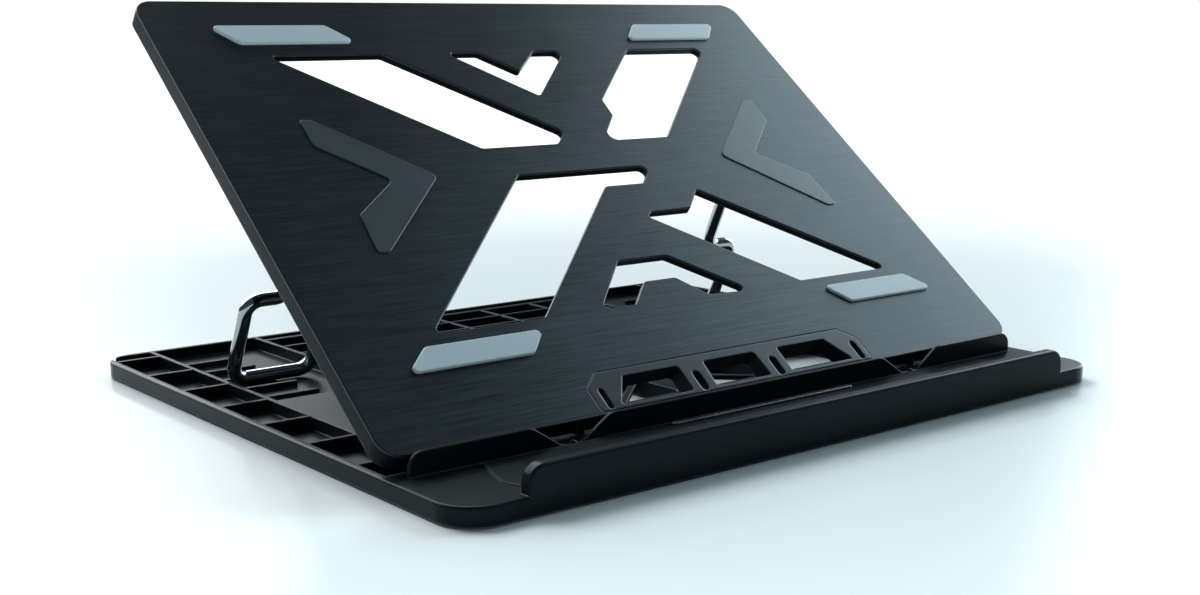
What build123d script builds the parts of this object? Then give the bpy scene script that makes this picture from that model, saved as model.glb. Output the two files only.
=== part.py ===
"""Laptop riser: a ribbed base tray, a tilting slotted plate and two folding wire legs.

Units are millimetres. X runs along the width, +Y to the rear, +Z up. The origin is on the
table, under the middle of the base. The plate is drawn at its working tilt.
"""

import os
from math import atan2, cos, radians, sin, sqrt

from build123d import *

# Overall sizes
WIDTH = 360.0
DEPTH = 308.0
BASE_HEIGHT = 7.2
PLATE_WIDTH = 358.0
PLATE_LENGTH = 258.5
PLATE_DEPTH = 8.0
TILT = 38.4

# Fits
FOOT_GAP = 0.8
RUNNING = 0.05
SEAT = 0.3
SLIDE_GAP = 0.4

# Base tray, with distances in Y measured from its front edge
CORNER_R = 16.0
EDGE_R = 1.0
RIM = 3.0
FLOOR = 1.8
RIB = 2.0
RIB_PITCH = 37.0
FIRST_RIB_Y = 72.0
SIDE_RIB_X = 155.0
WELL_RIB_X = 99.5
WELL_FRONT_Y = 178.0
FIELD_PITCH_X = 34.5
FIELD_PITCH_Y = 19.0
FIELD_ROWS = 3
REAR_GUTTER = 7.0
DECK_SKIN = 2.6
LIP_INSET = 28.0
LIP_THICKNESS = 5.8
LIP_HEIGHT = 10.7
LIP_END_R = 6.5
LIP_EDGE_R = 1.2
STOP_INSET = 8.0
STOP_THICKNESS = 2.0
STOP_REAR_Y = 46.4
STOP_HEIGHT = 9.2
STOP_END_R = 6.0
STOP_EDGE_R = 0.5
DIP_TOP = 38.0
DIP_FLOOR = 11.0
DIP_CLEARANCE = 0.4
NUB_R = 1.6
TRAY_STEP = 0.7
TRAY_GAP = 2.0
TRAY_END = 34.0
TRAY_CORNER = 4.0

# Air vents in the deck, and the pockets under it
VENT_Y = 104.5
VENT_LENGTH = 45.0
VENT_R = 4.0
INNER_VENT_X = 29.5
INNER_VENT_WIDTH = 41.0
OUTER_VENT_X = 86.0
OUTER_VENT_WIDTH = 60.0
STRUT_WIDTH = 3.0
STRUT_LENGTH = 62.0
STRUT_ANGLE = 43.0
STRUT_OFFSET_Y = -10.0
POCKET_ROWS = (24.0, 62.0)
POCKET_LENGTH = 26.0
POCKET_WIDTH = 46.0
POCKET_PITCH = 50.0
POCKET_COUNT = 6

# Ladder that the leg feet stand in
LADDER_STEPS = 5
LADDER_PITCH = 20.5
LADDER_REST_Y = 233.0
TOOTH_HEIGHT = 2.9
TOOTH_HALF_X = 124.0

# Hinge between the base and the plate
HINGE_X = 98.5
HINGE_AXIS_Y = 54.72
HINGE_AXIS_HEIGHT = 12.22
HINGE_S = 3.0
HINGE_DEPTH = 5.0
PIN_R = 1.2
LUG_R = 2.6
LUG_THICKNESS = 4.0
BARREL_HALF = 7.4
BARREL_LENGTH = 7.0

# Plate
PLATE_CORNER_R = 9.0
SKIN = 0.8
WEB = 3.0
SKIRT = 2.4
SKIN_EDGE = 0.3
PLATE_RIB = 2.0
PLATE_RIB_HEIGHT = 3.2
FRONT_RIB_S = 30.0
MIDDLE_RIB_S = 144.5
MIDDLE_RIB_X = 112.0
REAR_RIB_INSET = 20.5
SIDE_RIB_INSET = 19.0
CATCH_S = 118.0
CATCH_LENGTH = 9.0
CATCH_HEIGHT = 4.0
PAD_HEIGHT = 1.3
PAD_EDGE = 0.4
CHEVRON_HEIGHT = 0.5
CHEVRON_EDGE = 0.2

# Wire legs
WIRE_R = 3.2
LEG_X = 128.0
LEG_PIVOT_S = 164.5
HOOK_WIDTH = 40.0
HOOK_HEIGHT = 43.0
HOOK_TAIL = 16.0
BEND_R = 7.0
AXLE_LENGTH = 40.0
CLIP_WIDTH = 8.0
CLIP_CLEARANCE = 3.0
CLIP_WALL = 2.6
CLIP_EAR = 7.0
CLIP_EAR_THICKNESS = 2.0
CLIP_LIP = 0.6
SNAP_GRIP = 0.8
SCREW_R = 1.2
SCREW_HEAD_R = 2.3
SCREW_HEAD = 1.2
SCREW_BITE = 2.0

# Rubber feet, and the grip strip in the tray
FOOT_R = 9.0
FOOT_THICKNESS = 1.6
FOOT_INSET = 24.0
FOOT_EDGE = 0.5
STRIP_LENGTH = 105.0
STRIP_WIDTH = 3.6
STRIP_HEIGHT = 0.9
STRIP_Y = 39.5

# Vent insert at the front of the plate
INSERT_HALF_WIDTH = 79.0
INSERT_REAR_S = 21.0
INSERT_FRONT_S = 1.6
INSERT_SLANT_S = 14.0
INSERT_SLANT_X = 8.0
INSERT_FLANGE = 2.0
INSERT_FLANGE_THICKNESS = 1.5
WINDOW_WALL = 1.6

FRONT = -DEPTH / 2
REAR = DEPTH / 2
BASE_TOP = FOOT_GAP + BASE_HEIGHT
FLOOR_Z = FOOT_GAP + FLOOR
HINGE_Y = FRONT + HINGE_AXIS_Y
HINGE_Z = FOOT_GAP + HINGE_AXIS_HEIGHT
WEB_UNDER = -(SKIN + WEB)
LEG_H = WEB_UNDER - SLIDE_GAP - WIRE_R
SIDES = {"left": -1, "right": 1}

# The plate's own frame: x along the width, y up the slope, z out of the top face.
tilt = radians(TILT)
plate_origin = Vector(
    0,
    HINGE_Y - HINGE_S * cos(tilt) - HINGE_DEPTH * sin(tilt),
    HINGE_Z - HINGE_S * sin(tilt) + HINGE_DEPTH * cos(tilt),
)
plate_plane = Plane(origin=plate_origin, x_dir=(1, 0, 0), z_dir=(0, -sin(tilt), cos(tilt)))

os.makedirs("parts", exist_ok=True)


def save(part, name):
    """Label a finished piece and write its STEP file."""
    part.label = name
    export_step(part, f"parts/{name}.step")


def plate_level(height):
    """The plate's plane, moved along its normal."""
    return plate_plane.offset(height)


def plate_section(x):
    """A plane across the width at x: up the slope first, then out of the top face."""
    origin = plate_origin + Vector(x, 0, 0)
    return Plane(origin=origin, x_dir=(0, cos(tilt), sin(tilt)), z_dir=(1, 0, 0))


def outline(points):
    """Draw a filled polygon in the current sketch, with its own radius at each corner."""
    sketch = BuildSketch._get_context()
    Polygon(*[(x, y) for x, y, _ in points], align=None)
    for x, y, radius in points:
        fillet(sketch.vertices().sort_by_distance(Vector(x, y, 0))[0], radius)


def mirrored(points):
    """The same corners on the other side of the object."""
    return [(-x, y, radius) for x, y, radius in reversed(points)]


# Openings in the plate, as (x, distance up the slope, corner radius).
CUTS = {
    "upper_left": [
        (-131, 220.5, 2), (-71.5, 220.5, 3), (0, 161.5, 3),
        (-9, 153.6, 3), (-52, 153.6, 4),
    ],
    "upper_middle": [
        (-37, 220.5, 2), (-17.5, 220.5, 3), (-0.5, 206, 2), (16, 220.5, 3),
        (35.5, 220.5, 3), (0.5, 187.3, 2),
    ],
    "upper_right": [
        (77.5, 220.5, 3), (131, 220.5, 3), (59.5, 153.8, 3), (19, 153.8, 4),
        (35.8, 171, 3), (36.3, 182.5, 3),
    ],
    "lower_left": [
        (-42.5, 135, 3), (35.5, 135, 3), (24, 123.6, 3), (0.5, 123.6, 4),
        (-77, 52.4, 4), (-131.5, 52.4, 2),
    ],
    "lower_right": [
        (52.5, 116.5, 2), (132, 54, 2), (129, 52.2, 1), (73, 52.2, 3),
        (12, 102, 1.5), (16, 104.9, 1.5), (40.5, 104.9, 2),
    ],
    "lower_middle": [
        (-21.5, 77.8, 2), (6.5, 77.8, 3), (37.5, 53, 2), (33, 51.2, 2),
        (14, 52.2, 3), (2.5, 64.3, 3), (-15.5, 64.3, 3), (-28, 52.4, 3), (-47, 52.4, 2),
    ],
}

# ---------------------------------------------------------------- base tray
ladder_seats = [
    FRONT + LADDER_REST_Y + (step - LADDER_STEPS // 2) * LADDER_PITCH
    for step in range(LADDER_STEPS)
]
foot_spots = [
    (sx * (WIDTH / 2 - FOOT_INSET), sy * (DEPTH / 2 - FOOT_INSET))
    for sy in (-1, 1)
    for sx in (-1, 1)
]
lug_spots = [
    hinge + lug * (BARREL_HALF + SEAT + LUG_THICKNESS / 2)
    for hinge in (-HINGE_X, HINGE_X)
    for lug in (-1, 1)
]

# Front lip that keeps the laptop from sliding off, drawn first and joined to the tray.
with BuildPart() as lip:
    lip_half = WIDTH / 2 - LIP_INSET
    lip_top = BASE_TOP + LIP_HEIGHT
    with BuildSketch(Plane.XZ.offset(-FRONT)):
        outline(
            [
                (-lip_half, BASE_TOP - 2 * EDGE_R, 0.1), (-lip_half, lip_top, LIP_END_R),
                (lip_half, lip_top, LIP_END_R), (lip_half, BASE_TOP - 2 * EDGE_R, 0.1),
            ]
        )
    extrude(amount=-LIP_THICKNESS)
    rims = lip.faces().filter_by(Axis.Y).edges()
    fillet([rim for rim in rims if rim.center().Z > BASE_TOP], LIP_EDGE_R)

# Rear stop: a thin wall that dips at the two hinges.
with BuildPart() as stop:
    stop_top = BASE_TOP + STOP_HEIGHT
    stop_low = BASE_TOP + DIP_CLEARANCE
    stop_half = WIDTH / 2 - STOP_INSET
    with BuildSketch(Plane.XZ.offset(-(FRONT + STOP_REAR_Y - STOP_THICKNESS))):
        right_side = [
            (HINGE_X - DIP_TOP / 2, stop_top, 8), (HINGE_X - DIP_FLOOR / 2, stop_low, 6),
            (HINGE_X + DIP_FLOOR / 2, stop_low, 6), (HINGE_X + DIP_TOP / 2, stop_top, 8),
            (stop_half, stop_top, STOP_END_R), (stop_half, BASE_TOP - 2 * EDGE_R, 0.1),
        ]
        outline(right_side + mirrored(right_side))
    extrude(amount=-STOP_THICKNESS)
    rims = stop.faces().filter_by(Axis.Y).edges()
    fillet([rim for rim in rims if rim.center().Z > BASE_TOP], STOP_EDGE_R)

with BuildPart() as base:
    with BuildSketch(Plane.XY.offset(FOOT_GAP)):
        RectangleRounded(WIDTH, DEPTH, CORNER_R)
    extrude(amount=BASE_HEIGHT)
    fillet(base.faces().sort_by(Axis.Z)[-1].edges(), EDGE_R)

    # Outer columns of open pockets, one between each pair of cross ribs.
    rib_count = int((DEPTH - RIM - RIB - FIRST_RIB_Y) // RIB_PITCH) + 1
    rib_lines = [FRONT + FIRST_RIB_Y + number * RIB_PITCH for number in range(rib_count)]
    starts = [FRONT + STOP_REAR_Y + 2 * RIM] + [line + RIB / 2 for line in rib_lines]
    ends = [line - RIB / 2 for line in rib_lines] + [REAR - RIM]
    column_width = WIDTH / 2 - RIM - SIDE_RIB_X - RIB / 2
    with BuildSketch(Plane.XY.offset(FLOOR_Z)):
        for side in (-1, 1):
            for start, end in zip(starts, ends):
                with Locations((side * (WIDTH / 2 - RIM - column_width / 2), (start + end) / 2)):
                    Rectangle(column_width, end - start)
    extrude(amount=BASE_HEIGHT, mode=Mode.SUBTRACT)

    # A well each side for the leg feet, and a field of pockets between the wells.
    well_width = SIDE_RIB_X - WELL_RIB_X - RIB
    well_length = DEPTH - RIM - WELL_FRONT_Y
    columns = round(2 * WELL_RIB_X / FIELD_PITCH_X)
    column_pitch = 2 * WELL_RIB_X / columns
    field_rear = REAR - RIM - REAR_GUTTER - RIB
    with BuildSketch(Plane.XY.offset(FLOOR_Z)):
        for side in (-1, 1):
            with Locations((side * (SIDE_RIB_X + WELL_RIB_X) / 2, REAR - RIM - well_length / 2)):
                Rectangle(well_width, well_length)
        for row in range(FIELD_ROWS):
            for column in range(columns):
                x = -WELL_RIB_X + (column + 0.5) * column_pitch
                with Locations((x, field_rear - (row + 0.5) * FIELD_PITCH_Y)):
                    Rectangle(column_pitch - RIB, FIELD_PITCH_Y - RIB)
        with Locations((0, REAR - RIM - REAR_GUTTER / 2)):
            Rectangle(2 * WELL_RIB_X - RIB, REAR_GUTTER)
    extrude(amount=BASE_HEIGHT, mode=Mode.SUBTRACT)

    # Low ladder teeth: a foot bar drops in front of a tooth, which stops it sliding back.
    tooth_end = SIDE_RIB_X - RIB / 4
    with BuildSketch(Plane.XY.offset(FLOOR_Z - RIB / 4)):
        for side in (-1, 1):
            for seat in ladder_seats:
                tooth_y = seat + WIRE_R + SEAT + RIB / 2
                with Locations((side * (tooth_end + TOOTH_HALF_X) / 2, tooth_y)):
                    Rectangle(tooth_end - TOOTH_HALF_X, RIB)
    extrude(amount=TOOTH_HEIGHT + RIB / 4)

    # Openings through the deck let air reach the slots in the plate.
    with BuildSketch(Plane.XY.offset(FOOT_GAP)):
        for side in (-1, 1):
            with Locations((side * INNER_VENT_X, FRONT + VENT_Y)):
                RectangleRounded(INNER_VENT_WIDTH, VENT_LENGTH, VENT_R)
            with Locations((side * OUTER_VENT_X, FRONT + VENT_Y)):
                RectangleRounded(OUTER_VENT_WIDTH, VENT_LENGTH, VENT_R)
    extrude(amount=BASE_HEIGHT, mode=Mode.SUBTRACT)
    with BuildSketch(Plane.XY.offset(BASE_TOP - DECK_SKIN)):
        for side in (-1, 1):
            spot = (side * INNER_VENT_X, FRONT + VENT_Y + STRUT_OFFSET_Y)
            with Locations(Location(spot, -side * STRUT_ANGLE)):
                Rectangle(STRUT_LENGTH, STRUT_WIDTH)
    extrude(amount=DECK_SKIN - EDGE_R / 2)

    # The underside of the deck is hollow, between strengthening ribs.
    with BuildSketch(Plane.XY.offset(FOOT_GAP)):
        for row_y in POCKET_ROWS:
            with Locations((0, FRONT + row_y)):
                with GridLocations(POCKET_PITCH, 0, POCKET_COUNT, 1):
                    Rectangle(POCKET_WIDTH, POCKET_LENGTH)
    extrude(amount=BASE_HEIGHT - DECK_SKIN, mode=Mode.SUBTRACT)

    # The tray's floor is a low step, with clipped corners at its ends.
    tray_half = WIDTH / 2 - TRAY_END
    tray_rear = FRONT + STOP_REAR_Y - STOP_THICKNESS - TRAY_GAP
    tray_right = [
        (tray_half - TRAY_CORNER, tray_rear, 1),
        (tray_half + TRAY_CORNER, FRONT + STRIP_Y / 2, 1),
        (tray_half, FRONT + LIP_THICKNESS - LIP_EDGE_R, 0.5),
    ]
    with BuildSketch(Plane.XY.offset(BASE_TOP - EDGE_R)):
        outline(tray_right + mirrored(tray_right))
    extrude(amount=TRAY_STEP + EDGE_R)

    add(lip.part)
    add(stop.part)
    with Locations(*[(x, FRONT + STOP_REAR_Y - STOP_THICKNESS, BASE_TOP) for x in (-HINGE_X, HINGE_X)]):
        Sphere(NUB_R)

    # Hinge lugs, two at each hinge, standing in the gap behind the dips.
    for x in lug_spots:
        with BuildSketch(Plane.YZ.offset(x)):
            with Locations((HINGE_Y, HINGE_Z)):
                Circle(LUG_R)
            with Locations((HINGE_Y, (HINGE_Z + BASE_TOP - EDGE_R) / 2)):
                Rectangle(2 * LUG_R, HINGE_Z - BASE_TOP + EDGE_R)
            with Locations((HINGE_Y, HINGE_Z)):
                Circle(PIN_R, mode=Mode.SUBTRACT)
        extrude(amount=LUG_THICKNESS / 2, both=True)

    # Seats for the rubber feet.
    with BuildSketch(Plane.XY.offset(FOOT_GAP)):
        with Locations(*foot_spots):
            Circle(FOOT_R)
    extrude(amount=FOOT_THICKNESS - FOOT_GAP, mode=Mode.SUBTRACT)
save(base.part, "base_tray")

for name, spot in zip(("front_left", "front_right", "rear_left", "rear_right"), foot_spots):
    with BuildPart() as foot:
        with BuildSketch(Plane.XY):
            with Locations(spot):
                Circle(FOOT_R)
        extrude(amount=FOOT_THICKNESS)
        chamfer(foot.edges().sort_by(Axis.Z)[0], FOOT_EDGE)
    save(foot.part, f"rubber_foot_{name}")

with BuildPart() as strip:
    with BuildSketch(Plane.XY.offset(BASE_TOP + TRAY_STEP)):
        with Locations((0, FRONT + STRIP_Y)):
            SlotOverall(STRIP_LENGTH, STRIP_WIDTH)
    extrude(amount=STRIP_HEIGHT)
    fillet(strip.faces().sort_by(Axis.Z)[-1].edges(), STRIP_HEIGHT / 2)
save(strip.part, "tray_grip_strip")

for side, sign in SIDES.items():
    with BuildPart() as pin:
        with BuildSketch(Plane.YZ.offset(sign * HINGE_X)):
            with Locations((HINGE_Y, HINGE_Z)):
                Circle(PIN_R)
        extrude(amount=BARREL_HALF + SEAT + LUG_THICKNESS, both=True)
        chamfer(pin.edges(), PIN_R / 4)
    save(pin.part, f"hinge_pin_{side}")


# ---------------------------------------------------------------- tilting plate
def plate_blank(height, thickness):
    """The plate's outline, from one level down by a thickness."""
    with BuildSketch(plate_level(height)) as blank:
        with Locations((0, PLATE_LENGTH / 2)):
            RectangleRounded(PLATE_WIDTH, PLATE_LENGTH, PLATE_CORNER_R)
    extrude(blank.sketch, amount=-thickness)


def insert_outline(gap):
    """Corners of the vent insert's seat, grown by a gap."""
    half = INSERT_HALF_WIDTH + gap
    right_half = [
        (half - INSERT_SLANT_X, INSERT_REAR_S + gap, 3), (half, INSERT_SLANT_S, 3),
        (half, INSERT_FRONT_S - gap, 1.5),
    ]
    return right_half + mirrored(right_half)


def cut_openings():
    """Cut the six air openings and the vent insert's seat right through."""
    with BuildSketch(plate_level(1.0)) as openings:
        for points in CUTS.values():
            outline(points)
        outline(insert_outline(SEAT / 4))
    extrude(openings.sketch, amount=-(PLATE_DEPTH + 2.0), mode=Mode.SUBTRACT)


clip_spots = {
    f"{side}_{place}": sign * (LEG_X + way * (CLIP_WIDTH / 2 + WIRE_R + CLIP_CLEARANCE))
    for side, sign in SIDES.items()
    for place, way in (("inner", -1), ("outer", 1))
}
saddle_half = WIRE_R + RUNNING + CLIP_WALL
screw_spots = [
    (x, LEG_PIVOT_S + way * (saddle_half + CLIP_EAR / 2))
    for x in clip_spots.values()
    for way in (-1, 1)
]

with BuildPart() as frame:
    plate_blank(-SKIN, PLATE_DEPTH - SKIN)
    with BuildSketch(plate_level(WEB_UNDER)):
        with Locations((0, PLATE_LENGTH / 2)):
            RectangleRounded(
                PLATE_WIDTH - 2 * SKIRT, PLATE_LENGTH - 2 * SKIRT, PLATE_CORNER_R - SKIRT
            )
    extrude(amount=-PLATE_DEPTH, mode=Mode.SUBTRACT)

    # Stiffening ribs under the web.
    side_rib_x = PLATE_WIDTH / 2 - SIDE_RIB_INSET
    with BuildSketch(plate_level(WEB_UNDER)):
        with Locations((0, FRONT_RIB_S), (0, PLATE_LENGTH - REAR_RIB_INSET)):
            Rectangle(2 * side_rib_x, PLATE_RIB)
        with Locations((0, MIDDLE_RIB_S)):
            Rectangle(2 * MIDDLE_RIB_X, PLATE_RIB)
        with Locations((-side_rib_x, PLATE_LENGTH / 2), (side_rib_x, PLATE_LENGTH / 2)):
            Rectangle(PLATE_RIB, PLATE_LENGTH - 2 * SKIRT)
    extrude(amount=-PLATE_RIB_HEIGHT)

    # Two small fingers each side hold the folded leg.
    with BuildSketch(plate_level(WEB_UNDER)):
        for side in (-1, 1):
            for finger in (-1, 1):
                finger_x = side * LEG_X + finger * (WIRE_R + SEAT + PLATE_RIB / 2)
                with Locations((finger_x, CATCH_S)):
                    Rectangle(PLATE_RIB, CATCH_LENGTH)
    extrude(amount=-CATCH_HEIGHT)

    cut_openings()

    # A solid block behind the front edge is the barrel of each hinge.
    block_depth = PLATE_DEPTH + WEB_UNDER - SEAT
    with BuildSketch(plate_level(WEB_UNDER)):
        with Locations((-HINGE_X, BARREL_LENGTH / 2), (HINGE_X, BARREL_LENGTH / 2)):
            Rectangle(2 * BARREL_HALF, BARREL_LENGTH)
    extrude(amount=-block_depth)
    for x in (-HINGE_X, HINGE_X):
        with BuildSketch(plate_section(x)):
            with Locations((HINGE_S, -HINGE_DEPTH)):
                Circle(PIN_R + RUNNING)
        extrude(amount=BARREL_HALF + SEAT, both=True, mode=Mode.SUBTRACT)

    # Room for the base's lugs: round the pin, and forward and down as the plate tilts.
    room_r = LUG_R + SEAT
    for x in lug_spots:
        with BuildSketch(plate_section(x)):
            with Locations((HINGE_S, -HINGE_DEPTH)):
                Circle(room_r)
                Rectangle(2 * PLATE_DEPTH, room_r + PLATE_DEPTH, align=(Align.MAX, Align.MAX))
                Rectangle(room_r + PLATE_DEPTH, 2 * PLATE_DEPTH, align=(Align.MAX, Align.MAX))
            with Locations((HINGE_S, -HINGE_DEPTH)):
                Rectangle(2 * PLATE_DEPTH, 2 * room_r, align=(Align.MAX, Align.CENTER))
                Rectangle(2 * room_r, 2 * PLATE_DEPTH, align=(Align.CENTER, Align.MAX))
        extrude(amount=LUG_THICKNESS / 2 + SEAT, both=True, mode=Mode.SUBTRACT)

    # Screw holes for the leg clips.
    with BuildSketch(plate_level(WEB_UNDER)):
        with Locations(*screw_spots):
            Circle(SCREW_R + RUNNING)
    extrude(amount=SCREW_BITE + SEAT, mode=Mode.SUBTRACT)
save(frame.part, "plate_frame")

with BuildPart() as skin:
    plate_blank(0.0, SKIN)
    cut_openings()
    top_face = skin.faces().sort_by(Axis(plate_origin, plate_plane.z_dir))[-1]
    chamfer(top_face.edges(), SKIN_EDGE)
save(skin.part, "top_skin")

# Vent insert: a plug in the seat, with a flange under the web and walls round three windows.
side_window = [(-68, 3.4, 1), (-59, 17, 1.5), (-29, 17, 1.5), (-29, 3.4, 1)]
middle_window = [(-16, 3.4, 1), (-15, 17, 1.5), (15, 17, 1.5), (16, 3.4, 1)]
slots = {-73.5: 2.8, -22.5: 4.2, 22.5: 4.2, 74.0: 3.6}
with BuildPart() as insert:
    with BuildSketch(plate_level(0.0)):
        outline(insert_outline(-SEAT / 4))
    extrude(amount=WEB_UNDER)
    with BuildSketch(plate_level(WEB_UNDER)):
        with Locations((0, SKIRT + SEAT)):
            Rectangle(
                2 * (INSERT_HALF_WIDTH + INSERT_FLANGE), INSERT_REAR_S + INSERT_FLANGE - SKIRT,
                align=(Align.CENTER, Align.MIN),
            )
    extrude(amount=-INSERT_FLANGE_THICKNESS)
    with BuildSketch(plate_level(WEB_UNDER)):
        outline(side_window)
        outline(middle_window)
        outline(mirrored(side_window))
        offset(amount=WINDOW_WALL)
    extrude(amount=-(PLATE_DEPTH + WEB_UNDER))
    with BuildSketch(plate_level(1.0)):
        outline(side_window)
        outline(middle_window)
        outline(mirrored(side_window))
        for x, slot_width in slots.items():
            with Locations((x, 7.5)):
                SlotOverall(11.0, slot_width, rotation=90)
    extrude(amount=-(PLATE_DEPTH + 2.0), mode=Mode.SUBTRACT)
save(insert.part, "vent_insert")

# Grip pads: slanted bars near the four corners.
PAD_ROWS = {
    "rear": [(-151, 240, 2), (-93, 240, 4), (-81.5, 227.6, 2), (-140, 227.6, 4)],
    "front": [(-152, 34.6, 2), (-139, 46.2, 4), (-82, 46.2, 2), (-93, 34.6, 4)],
}
for row, corners in PAD_ROWS.items():
    for side, points in (("left", corners), ("right", mirrored(corners))):
        with BuildPart() as pad:
            with BuildSketch(plate_level(0.0)):
                outline(points)
            extrude(amount=PAD_HEIGHT)
            top_face = pad.faces().sort_by(Axis(plate_origin, plate_plane.z_dir))[-1]
            chamfer(top_face.edges(), PAD_EDGE)
        save(pad.part, f"grip_pad_{row}_{side}")

CHEVRON = [
    (-134, 177.5, 2), (-128, 177, 3), (-84, 138, 3), (-128.5, 97, 3), (-134, 97, 2),
    (-132, 119, 3), (-107, 137.5, 3), (-134, 161, 3),
]
for side, points in (("left", CHEVRON), ("right", mirrored(CHEVRON))):
    with BuildPart() as chevron:
        with BuildSketch(plate_level(0.0)):
            outline(points)
        extrude(amount=CHEVRON_HEIGHT)
        top_face = chevron.faces().sort_by(Axis(plate_origin, plate_plane.z_dir))[-1]
        chamfer(top_face.edges(), CHEVRON_EDGE)
    save(chevron.part, f"chevron_pad_{side}")


# ---------------------------------------------------------------- folding legs
leg_pivot = plate_plane.from_local_coords(Vector(0, LEG_PIVOT_S, LEG_H))
seat_y = FRONT + LADDER_REST_Y
seat_z = FLOOR_Z + SLIDE_GAP + WIRE_R
leg_length = sqrt((seat_y - leg_pivot.Y) ** 2 + (seat_z - leg_pivot.Z) ** 2)
lean = atan2(seat_y - leg_pivot.Y, leg_pivot.Z - seat_z)

# One bent wire: stem, out to the side, down, along the foot and a short turned-up end.
for side, sign in SIDES.items():
    leg_plane = Plane(
        origin=(sign * LEG_X, seat_y, seat_z), x_dir=(1, 0, 0), z_dir=(0, -cos(lean), -sin(lean))
    )
    out = sign * HOOK_WIDTH / 2
    with BuildPart() as leg:
        with BuildLine(leg_plane) as wire:
            FilletPolyline(
                (0, leg_length), (0, HOOK_HEIGHT), (out, HOOK_HEIGHT), (out, 0), (-out, 0),
                (-out, HOOK_TAIL),
                radius=BEND_R,
            )
        with BuildSketch(Plane(origin=wire.wires()[0] @ 0, z_dir=wire.wires()[0] % 0)):
            Circle(WIRE_R)
        sweep(path=wire.wires()[0])
        with BuildSketch(Plane.YZ.offset(sign * LEG_X)):
            with Locations((leg_pivot.Y, leg_pivot.Z)):
                Circle(WIRE_R)
        extrude(amount=AXLE_LENGTH / 2, both=True)
    save(leg.part, f"support_leg_{side}")

# Clips: open saddles that the leg's axle snaps into, each held by two screws.
for name, x in clip_spots.items():
    with BuildPart() as clip:
        with BuildSketch(plate_level(WEB_UNDER)):
            with Locations((x, LEG_PIVOT_S)):
                Rectangle(CLIP_WIDTH, 2 * saddle_half)
        extrude(amount=-(SLIDE_GAP + 2 * WIRE_R + CLIP_LIP))
        with BuildSketch(plate_level(WEB_UNDER)):
            with Locations((x, LEG_PIVOT_S)):
                Rectangle(CLIP_WIDTH, 2 * (saddle_half + CLIP_EAR))
        extrude(amount=-CLIP_EAR_THICKNESS)
        with BuildSketch(plate_section(x)):
            with Locations((LEG_PIVOT_S, LEG_H)):
                Circle(WIRE_R + RUNNING)
                Rectangle(2 * WIRE_R - SNAP_GRIP, PLATE_DEPTH, align=(Align.CENTER, Align.MAX))
        extrude(amount=CLIP_WIDTH, both=True, mode=Mode.SUBTRACT)
        with BuildSketch(plate_level(WEB_UNDER)):
            with Locations(*[spot for spot in screw_spots if spot[0] == x]):
                Circle(SCREW_R + RUNNING)
        extrude(amount=-(CLIP_EAR_THICKNESS + 1.0), mode=Mode.SUBTRACT)
    save(clip.part, f"leg_clip_{name}")

with BuildPart() as screws:
    head_level = WEB_UNDER - CLIP_EAR_THICKNESS
    with BuildSketch(plate_level(head_level - SCREW_HEAD)):
        with Locations(*screw_spots):
            Circle(SCREW_HEAD_R)
    extrude(amount=SCREW_HEAD)
    with BuildSketch(plate_level(head_level)):
        with Locations(*screw_spots):
            Circle(SCREW_R)
    extrude(amount=CLIP_EAR_THICKNESS + SCREW_BITE)
save(screws.part, "clip_screws")
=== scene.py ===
"""Dark slotted laptop riser on a pale studio floor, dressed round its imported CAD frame."""

import math

import bmesh
import bpy
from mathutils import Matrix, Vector


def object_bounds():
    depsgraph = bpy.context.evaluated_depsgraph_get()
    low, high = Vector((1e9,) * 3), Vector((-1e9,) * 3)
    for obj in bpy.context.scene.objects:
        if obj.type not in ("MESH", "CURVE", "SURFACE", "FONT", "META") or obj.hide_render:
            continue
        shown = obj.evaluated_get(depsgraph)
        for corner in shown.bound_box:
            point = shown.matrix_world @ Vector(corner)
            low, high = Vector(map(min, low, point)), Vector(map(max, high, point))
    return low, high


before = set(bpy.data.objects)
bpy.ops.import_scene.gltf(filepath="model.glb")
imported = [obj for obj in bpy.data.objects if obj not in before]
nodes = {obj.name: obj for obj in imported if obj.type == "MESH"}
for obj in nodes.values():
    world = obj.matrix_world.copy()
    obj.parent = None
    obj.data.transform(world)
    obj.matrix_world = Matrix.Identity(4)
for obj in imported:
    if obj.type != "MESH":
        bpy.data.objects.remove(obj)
cad_low, cad_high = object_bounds()


# ---------------------------------------------------------------- base tray
# One injection moulding in black ABS: a smooth deck with a ribbed field behind it, a front lip
# and a rear stop wall. The tool is spark-eroded, which leaves a fine even pebble. The edges are
# made a little smoother, and a cool painted highlight lightens their colour.
BASE_PEBBLES_PER_METRE = 2600.0
PEBBLE_HEIGHT = 0.00004
EDGE_HIGHLIGHT_WIDTH = 0.0009
COOL_SHEEN = (0.72, 0.9, 1.0, 1.0)


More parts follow.
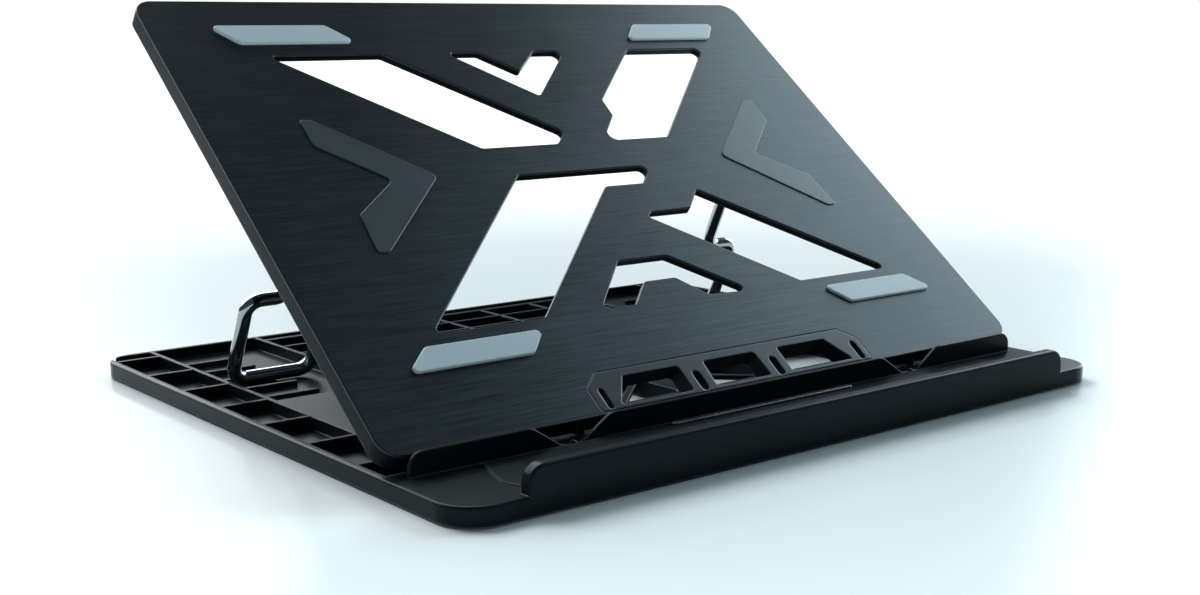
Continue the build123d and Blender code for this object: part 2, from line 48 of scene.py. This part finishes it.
class Wire:
    """An output socket in a material. Arithmetic on it adds Math nodes."""

    def __init__(self, tree, socket=None):
        self.tree = tree
        self.socket = socket

    def node(self, kind, settings, inputs, output=0):
        """Adds a node: first its settings, then the values or links of its sockets."""
        made = self.tree.nodes.new("ShaderNode" + kind)
        for name, value in settings.items():
            if name == "stops":
                ramp = made.color_ramp
                while len(ramp.elements) < len(value):
                    ramp.elements.new(0.5)
                for stop, (place, colour) in zip(ramp.elements, value):
                    stop.position = place
                    stop.color = colour
            else:
                setattr(made, name, value)
        for name, value in inputs.items():
            if isinstance(value, Wire):
                self.tree.links.new(value.socket, made.inputs[name])
            else:
                made.inputs[name].default_value = value
        return Wire(self.tree, made.outputs[output] if made.outputs else None)

    def math(self, operation, first, second):
        """Adds a Math node on this socket and another socket or number."""
        return self.node("Math", {"operation": operation}, {0: first, 1: second})

    def __add__(self, other):
        return self.math("ADD", self, other)

    def __sub__(self, other):
        return self.math("SUBTRACT", self, other)

    def __rsub__(self, other):
        return self.math("SUBTRACT", other, self)

    def __mul__(self, other):
        return self.math("MULTIPLY", self, other)

    __radd__ = __add__
    __rmul__ = __mul__


def finish_of(name):
    """A new material, the Wire that builds its nodes, and the place on the object."""
    material = bpy.data.materials.new(name)
    material.use_nodes = True
    material.node_tree.nodes.clear()
    wire = Wire(material.node_tree)
    return material, wire, wire.node("TexCoord", {}, {}, "Object")


def noise(place, scale, detail=3.0, stretch=(1.0, 1.0, 1.0)):
    """Noise of so many grains a metre, drawn out by the stretch."""
    drawn = place.node("Mapping", {}, {"Vector": place, "Scale": stretch})
    return place.node("TexNoise", {}, {"Vector": drawn, "Scale": scale, "Detail": detail})


def blend(factor, dark, light):
    """A colour between two, by a factor of 0 to 1."""
    stops = [(0.0, (*dark, 1.0)), (1.0, (*light, 1.0))]
    return factor.node("ValToRGB", {"stops": stops}, {"Fac": factor})


def clamped(wire):
    """A value held between 0 and 1."""
    return wire.node("Clamp", {}, {"Value": wire})


def edge_highlight_mask(wire, width, onset, gain):
    """Mask for a painted edge highlight: the turn between the true normal and one rounded over an
    edge.
    """
    plain = wire.node("NewGeometry", {}, {}, "Normal")
    rounded = wire.node("Bevel", {"samples": 6}, {"Radius": width})
    turn = wire.node("VectorMath", {"operation": "DOT_PRODUCT"}, {0: plain, 1: rounded}, "Value")
    return clamped((1.0 - turn - onset) * gain), rounded


def relief(height, strength, distance, rounded):
    """A normal raised by a pattern's height, in metres, over one rounded at the edges."""
    return height.node(
        "Bump",
        {},
        {"Height": height, "Strength": strength, "Distance": distance, "Normal": rounded},
    )


def surface(wire, sockets, constants):
    """Ends a material: the shader's varying sockets, and those that are the same all over."""
    shader = wire.node("BsdfPrincipled", {}, {**constants, **sockets}, "BSDF")
    wire.node("OutputMaterial", {}, {"Surface": shader})


def wear(node, material):
    """Puts a finish on a CAD node."""
    node.data.materials.clear()
    node.data.materials.append(material)
    for polygon in node.data.polygons:
        polygon.material_index = 0


def moulded(name, dark, light, roughness, pebbles, sheen):
    """Spark-eroded plastic: a fine pebble, slow clouds of gloss, and edges made smoother and
    lightened by a painted highlight.
    """
    material, wire, place = finish_of(name)
    grain = noise(place, pebbles)
    cloud = noise(place, 14.0, 4.0)
    painted_edge_highlight, rounded = edge_highlight_mask(wire, EDGE_HIGHLIGHT_WIDTH, 0.015, 7.0)
    surface(
        wire,
        {
            # The edges are lightened in colour: a painted highlight.
            "Base Color": blend(painted_edge_highlight * 0.9 + cloud * 0.06, dark, light),
            "Roughness": cloud * 0.12 + grain * 0.08 + (roughness - 0.1) - painted_edge_highlight * 0.08,
            "Normal": relief(grain, 0.3, PEBBLE_HEIGHT, rounded),
        },
        {"Specular IOR Level": sheen, "Specular Tint": COOL_SHEEN},
    )
    return material


base_black = moulded(
    "moulded base",
    dark=(0.0065, 0.0088, 0.0102),
    light=(0.13, 0.175, 0.20),
    roughness=0.31,
    pebbles=BASE_PEBBLES_PER_METRE,
    sheen=0.1,
)
wear(nodes["base_tray"], base_black)

# ---------------------------------------------------------------- plate frame and vent insert
# The plate's hollow tray and the insert at its front edge are moulded in the same black ABS,
# from a finer tool than the base. The insert lies flush in the skin and is nearly its shade.
PLATE_PEBBLES_PER_METRE = 3200.0

frame_black = moulded(
    "moulded frame",
    dark=(0.004, 0.0055, 0.0066),
    light=(0.10, 0.135, 0.155),
    roughness=0.33,
    pebbles=PLATE_PEBBLES_PER_METRE,
    sheen=0.07,
)
insert_black = moulded(
    "moulded insert",
    dark=(0.017, 0.0225, 0.026),
    light=(0.12, 0.155, 0.175),
    roughness=0.35,
    pebbles=PLATE_PEBBLES_PER_METRE,
    sheen=0.4,
)
wear(nodes["plate_frame"], frame_black)
wear(nodes["vent_insert"], insert_black)

# ---------------------------------------------------------------- top skin
# A thin sheet bonded to the frame, brushed along the width in long uneven strokes, dyed black
# and lacquered. The strokes show as fine streaks of light and dark, over broader soft bands, and
# a thin painted highlight lightens the cut edges.
STROKES_ALONG = {"hair": 45.0, "stroke": 26.0, "band": 7.0}
STROKES_ACROSS = {"hair": 3600.0, "stroke": 2200.0, "band": 700.0}
STROKE_DEPTH = 0.00005
SKIN_DARK = (0.015, 0.021, 0.025)
SKIN_LIGHT = (0.066, 0.086, 0.098)
SKIN_ROUGHNESS = 0.2

material, wire, place = finish_of("brushed skin")


def brushed(kind, detail):
    """Strokes of one kind, drawn out along the width."""
    across = STROKES_ACROSS[kind]
    return noise(place, 1.0, detail, (STROKES_ALONG[kind], across, across))


streaks = brushed("hair", 2.0) * 0.5 + brushed("stroke", 3.0) * 0.38 + brushed("band", 3.0) * 0.12
smear = noise(place, 11.0, 3.0)
painted_edge_highlight, rounded = edge_highlight_mask(wire, 0.0005, 0.02, 6.0)
contrast = clamped((streaks - 0.5) * 2.0 + 0.5)
surface(
    wire,
    {
        # The cut edges are lightened in colour: a painted highlight.
        "Base Color": blend(clamped(contrast + painted_edge_highlight * 1.5), SKIN_DARK, SKIN_LIGHT),
        "Roughness": contrast * 0.16 + smear * 0.12 + SKIN_ROUGHNESS,
        "Normal": relief(streaks, 0.3, STROKE_DEPTH, rounded),
    },
    {"Metallic": 0.9, "Specular IOR Level": 0.3},
)
wear(nodes["top_skin"], material)


# ---------------------------------------------------------------- silicone and rubber
# Soft mouldings: four pale grip pads and two dark chevrons bonded on the skin, a black strip in
# the tray and four feet under the base. They are matt with a soft sheen and pick up dust, and a
# painted highlight lightens their rims.
RUBBER_GRAIN_HEIGHT = 0.00005


def rubbery(name, dark, light, roughness, sheen):
    """Soft matt rubber with a fine grain, faint dust, and rims lightened by a painted highlight.
    """
    material, wire, place = finish_of(name)
    grain = noise(place, 1900.0, 2.0)
    dust = noise(place, 45.0, 4.0)
    painted_edge_highlight, rounded = edge_highlight_mask(wire, 0.0005, 0.02, 5.0)
    surface(
        wire,
        {
            # Dust lightens the colour at random; the rims are lightened by a painted highlight.
            "Base Color": blend(clamped(dust * 0.5 + painted_edge_highlight * 0.5), dark, light),
            "Roughness": grain * 0.14 + dust * 0.1 + (roughness - 0.12),
            "Normal": relief(grain, 0.3, RUBBER_GRAIN_HEIGHT, rounded),
        },
        {"Specular IOR Level": sheen, "Specular Tint": COOL_SHEEN},
    )
    return material


soft_finishes = {
    "grip_pad": rubbery(
        "pad silicone",
        dark=(0.60, 0.74, 0.78),
        light=(0.78, 0.90, 0.94),
        roughness=0.40,
        sheen=0.7,
    ),
    "chevron_pad": rubbery(
        "inlay silicone",
        dark=(0.028, 0.037, 0.044),
        light=(0.085, 0.11, 0.125),
        roughness=0.34,
        sheen=0.6,
    ),
    "rubber_foot": rubbery(
        "foot rubber",
        dark=(0.008, 0.009, 0.01),
        light=(0.035, 0.038, 0.042),
        roughness=0.4,
        sheen=0.45,
    ),
    "tray_grip_strip": rubbery(
        "strip silicone",
        dark=(0.03, 0.038, 0.043),
        light=(0.16, 0.19, 0.21),
        roughness=0.26,
        sheen=0.8,
    ),
}
for name, node in nodes.items():
    for kind, finish in soft_finishes.items():
        if name.startswith(kind):
            wear(node, finish)

# ---------------------------------------------------------------- leg clips
# Four small black saddles, moulded like the plate frame, each held under it by two screws. The
# axle of a wire leg turns in a pair of them.
for name, node in nodes.items():
    if name.startswith("leg_clip"):
        wear(node, frame_black)

# ---------------------------------------------------------------- wire legs, pins and screws
# The legs are bent from hard steel wire, then nickel and chrome plated. The plating mirrors the
# room: near black in the middle of the wire, with thin bright lines along its sides. Fine
# drawing marks run in it, and the pins and screws share the finish.
WIRE_ROUNDING = 0.0009
MARK_DEPTH = 0.00002

material, wire, place = finish_of("chrome")
marks = noise(place, 700.0, 3.0)
blotch = noise(place, 60.0, 3.0)
rounded = wire.node("Bevel", {"samples": 8}, {"Radius": WIRE_ROUNDING})
surface(
    wire,
    {
        "Base Color": blend(blotch, (0.32, 0.35, 0.37), (0.47, 0.51, 0.53)),
        "Roughness": marks * 0.05 + blotch * 0.06 + 0.05,
        "Normal": relief(marks, 0.12, MARK_DEPTH, rounded),
    },
    {"Metallic": 1.0},
)
for name, node in nodes.items():
    if name.startswith(("support_leg", "hinge_pin", "clip_screws")):
        wear(node, material)

# ---------------------------------------------------------------- floor
# A satin white sweep, far larger than the riser. It takes a cool soft shadow from the lights in
# front of the base; a painted glow, none near the riser and rising with distance, deepens the
# shade near it and brightens the floor to pure white further off.
FLOOR_SIZE = 30.0
FLOOR_PAINTED_GLOW = {0.18: 0.0, 0.45: 0.12, 1.0: 0.7}

floor_mesh = bpy.data.meshes.new("studio_floor")
bm = bmesh.new()
bmesh.ops.create_grid(bm, x_segments=1, y_segments=1, size=FLOOR_SIZE)
bm.to_mesh(floor_mesh)
bm.free()
floor = bpy.data.objects.new("studio_floor", floor_mesh)
bpy.context.scene.collection.objects.link(floor)
material, wire, place = finish_of("floor")
# Painted light: the floor glows more the further a spot is from the riser.
distance = wire.node("VectorMath", {"operation": "LENGTH"}, {0: place}, "Value")
stops = [(metres, (glow, glow, glow, 1.0)) for metres, glow in FLOOR_PAINTED_GLOW.items()]
surface(
    wire,
    {"Emission Color": wire.node("ValToRGB", {"stops": stops}, {"Fac": distance})},
    {
        "Base Color": (0.86, 0.925, 0.945, 1.0),
        "Roughness": 0.22,
        "Specular IOR Level": 0.09,
        "Emission Strength": 1.0,
    },
)
floor.data.materials.append(material)

# ---------------------------------------------------------------- room and lights
# The room is white to look at but gives only a weak cool fill. Two broad soft lights do the
# rest: one high behind, and a cool one low on the right that grades the plate from left to right.
FILL = {"Color": (0.6, 0.87, 1.0, 1.0), "Strength": 0.10}
SEEN = {"Color": (1.0, 1.0, 1.0, 1.0), "Strength": 1.0}

world = bpy.data.worlds.new("studio")
bpy.context.scene.world = world
world.use_nodes = True
room = Wire(world.node_tree)
lens_ray = room.node("LightPath", {}, {}, "Is Camera Ray")
fill = room.node("Background", {}, FILL)
seen = room.node("Background", {}, SEEN)
both = room.node("MixShader", {}, {0: lens_ray, 1: fill, 2: seen}, "Shader")
room.tree.links.new(both.socket, world.node_tree.nodes["World Output"].inputs["Surface"])


def sun(name, toward, power, spread, colour):
    """A light from very far off, seen as a soft disc of so many degrees."""
    light = bpy.data.lights.new(name, "SUN")
    light.energy = power
    light.angle = math.radians(spread)
    light.color = colour
    lamp = bpy.data.objects.new(name, light)
    lamp.rotation_euler = Vector(toward).to_track_quat("Z", "Y").to_euler()
    bpy.context.scene.collection.objects.link(lamp)


sun("back_light", (0.0, 0.8, 0.58), 3.9, 58.0, (0.97, 1.0, 1.0))
sun("right_light", (0.92, 0.16, 0.36), 2.4, 46.0, (0.8, 0.93, 1.0))

# ---------------------------------------------------------------- camera
# It stands to the left of the riser's front corner, a little below the top of the plate, and
# looks slightly down at it. Its place is set from the model's lowest, leftmost, front corner.
CAMERA_FROM_CORNER = (-0.27574, -0.41178, 0.16805)
CAMERA_DOWN = 0.1765
CAMERA_TURN = -0.6819

eye = bpy.data.cameras.new("eye")
eye.sensor_width = 36.0
eye.lens = 46.959
eye.clip_start = 0.02
camera = bpy.data.objects.new("eye", eye)
camera.location = cad_low + Vector(CAMERA_FROM_CORNER)
camera.rotation_euler = (math.pi / 2 - CAMERA_DOWN, 0.0, CAMERA_TURN)
bpy.context.scene.collection.objects.link(camera)
bpy.context.scene.camera = camera
bpy.context.scene.view_settings.view_transform = "Standard"
